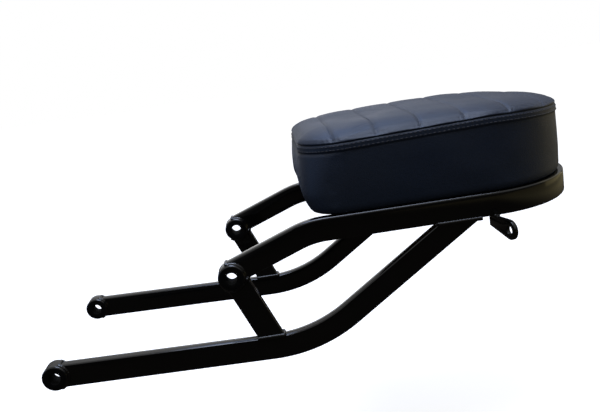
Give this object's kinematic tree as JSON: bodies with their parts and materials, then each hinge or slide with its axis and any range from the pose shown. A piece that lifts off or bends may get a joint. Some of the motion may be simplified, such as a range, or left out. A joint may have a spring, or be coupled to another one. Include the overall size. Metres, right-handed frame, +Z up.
{
  "type": "bicycle rear rack seat",
  "caption": "Bent rectangular-tube rear rack with an upholstered passenger seat cushion, bushes and lugs for bolting to a bicycle, and lamp ears.",
  "frame": {"origin": "middle of the line through the two lower bushes, which the rack bolts to", "axes": "+X towards the rear of the bicycle, +Y towards the rider's right, +Z up"},
  "size_m": [0.5945, 0.2804, 0.2319],
  "materials": {
    "black_gloss_paint": "gloss black paint on welded steel",
    "navy_leatherette": "dark navy-black grained leatherette, soft sheen",
    "birch_plywood": "bare plywood",
    "zinc_plated_steel": "bright zinc plating"
  },
  "bodies": {
    "root": {"front_cross_plate": "black_gloss_paint", "lower_bush_left": "black_gloss_paint", "lower_bush_right": "black_gloss_paint", "lower_rail_left": "black_gloss_paint", "lower_rail_right": "black_gloss_paint", "rear_cross_plate": "black_gloss_paint", "rear_ear_left": "black_gloss_paint", "rear_ear_right": "black_gloss_paint", "seat_base_board": "birch_plywood", "seat_cushion": "navy_leatherette", "seat_hoop": "black_gloss_paint", "seat_screw_front_left": "zinc_plated_steel", "seat_screw_front_right": "zinc_plated_steel", "seat_screw_rear_left": "zinc_plated_steel", "seat_screw_rear_right": "zinc_plated_steel", "strut_left": "black_gloss_paint", "strut_right": "black_gloss_paint", "tee_nut_front_left": "zinc_plated_steel", "tee_nut_front_right": "zinc_plated_steel", "tee_nut_rear_left": "zinc_plated_steel", "tee_nut_rear_right": "zinc_plated_steel", "upper_lug_left": "black_gloss_paint", "upper_lug_right": "black_gloss_paint", "washer_front_left": "zinc_plated_steel", "washer_front_right": "zinc_plated_steel", "washer_rear_left": "zinc_plated_steel", "washer_rear_right": "zinc_plated_steel"}
  },
  "joints": []
}
